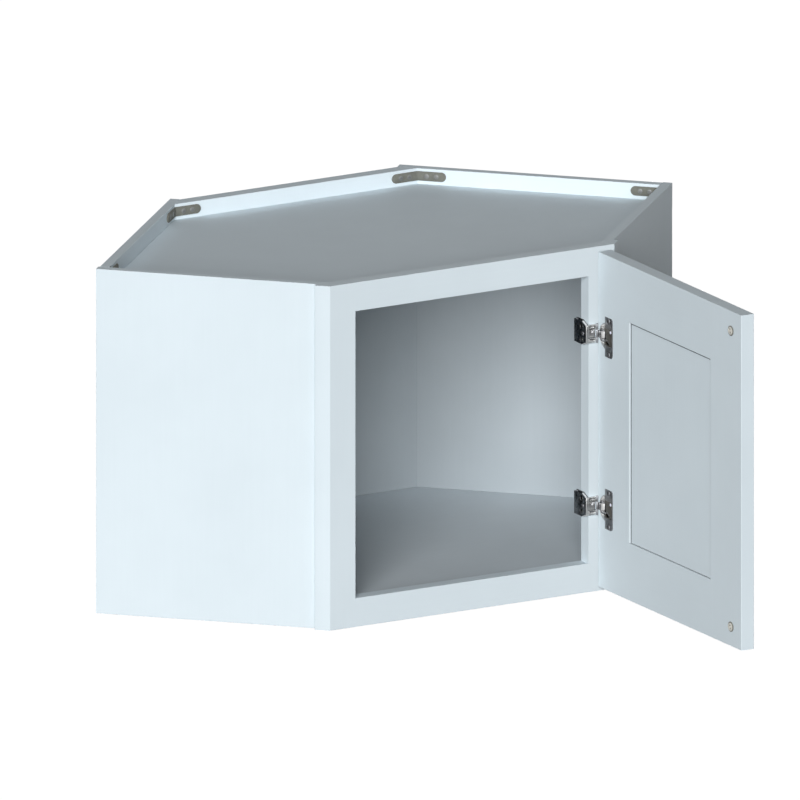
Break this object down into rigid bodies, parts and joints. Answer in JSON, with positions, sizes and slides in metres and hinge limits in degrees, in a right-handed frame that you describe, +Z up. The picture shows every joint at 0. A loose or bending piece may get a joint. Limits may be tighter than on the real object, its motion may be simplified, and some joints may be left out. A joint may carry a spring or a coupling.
{
  "type": "corner wall cabinet",
  "caption": "Diagonal corner kitchen wall cabinet with a clipped rear corner, a framed front and a recessed-panel door on concealed hinges, standing open.",
  "frame": {"origin": "middle of the corner back panel's rear face", "axes": "+Y out of that face into the corner of the room, -Y to the front, +Z up, +X to the viewer's right"},
  "size_m": [0.8534, 0.8488, 0.4572],
  "materials": {
    "white_paint": "satin white paint",
    "zinc_bracket": "dull zinc plate",
    "zinc_screw": "zinc plate",
    "bright_nickel": "nickel plate",
    "dark_nickel": "dark nickel plate",
    "dark_plastic": "moulded",
    "clear_bumper": "clear soft polyurethane"
  },
  "bodies": {
    "cabinet": {"left_end_panel": "white_paint", "left_back_panel": "white_paint", "right_end_panel": "white_paint", "right_back_panel": "white_paint", "corner_back_panel": "white_paint", "bottom_panel": "white_paint", "top_panel": "white_paint", "left_end_bracket_bottom": "zinc_bracket", "left_corner_bracket_bottom": "zinc_bracket", "left_end_bracket_top": "zinc_bracket", "left_corner_bracket_top": "zinc_bracket", "right_end_bracket_bottom": "zinc_bracket", "right_corner_bracket_bottom": "zinc_bracket", "right_end_bracket_top": "zinc_bracket", "right_corner_bracket_top": "zinc_bracket", "left_stile": "white_paint", "right_stile": "white_paint", "bottom_rail": "white_paint", "top_rail": "white_paint", "lower_hinge_channel": "dark_nickel", "lower_hinge_strap": "bright_nickel", "lower_hinge_pin": "bright_nickel", "lower_hinge_cam_screw": "zinc_screw", "lower_jamb_screw_low": "zinc_screw", "lower_jamb_screw_high": "zinc_screw", "upper_hinge_channel": "dark_nickel", "upper_hinge_strap": "bright_nickel", "upper_hinge_pin": "bright_nickel", "upper_hinge_cam_screw": "zinc_screw", "upper_jamb_screw_low": "zinc_screw", "upper_jamb_screw_high": "zinc_screw"},
    "door": {"door_hinge_stile": "white_paint", "door_free_stile": "white_paint", "door_bottom_rail": "white_paint", "door_top_rail": "white_paint", "door_panel": "white_paint", "lower_bumper": "clear_bumper", "upper_bumper": "clear_bumper", "lower_hinge_cup": "bright_nickel", "lower_hinge_leaf": "bright_nickel", "lower_hinge_damper": "dark_plastic", "lower_hinge_spring": "dark_nickel", "lower_cup_screw_low": "zinc_screw", "lower_cup_screw_high": "zinc_screw", "upper_hinge_cup": "bright_nickel", "upper_hinge_leaf": "bright_nickel", "upper_hinge_damper": "dark_plastic", "upper_hinge_spring": "dark_nickel", "upper_cup_screw_low": "zinc_screw", "upper_cup_screw_high": "zinc_screw"}
  },
  "joints": [
    {"name": "door_hinge", "type": "hinge", "parent": "cabinet", "child": "door", "pos_m": [0.18405, -0.4721, 0], "axis": [0, 0, 1], "range_deg": [-90, 5]}
  ]
}
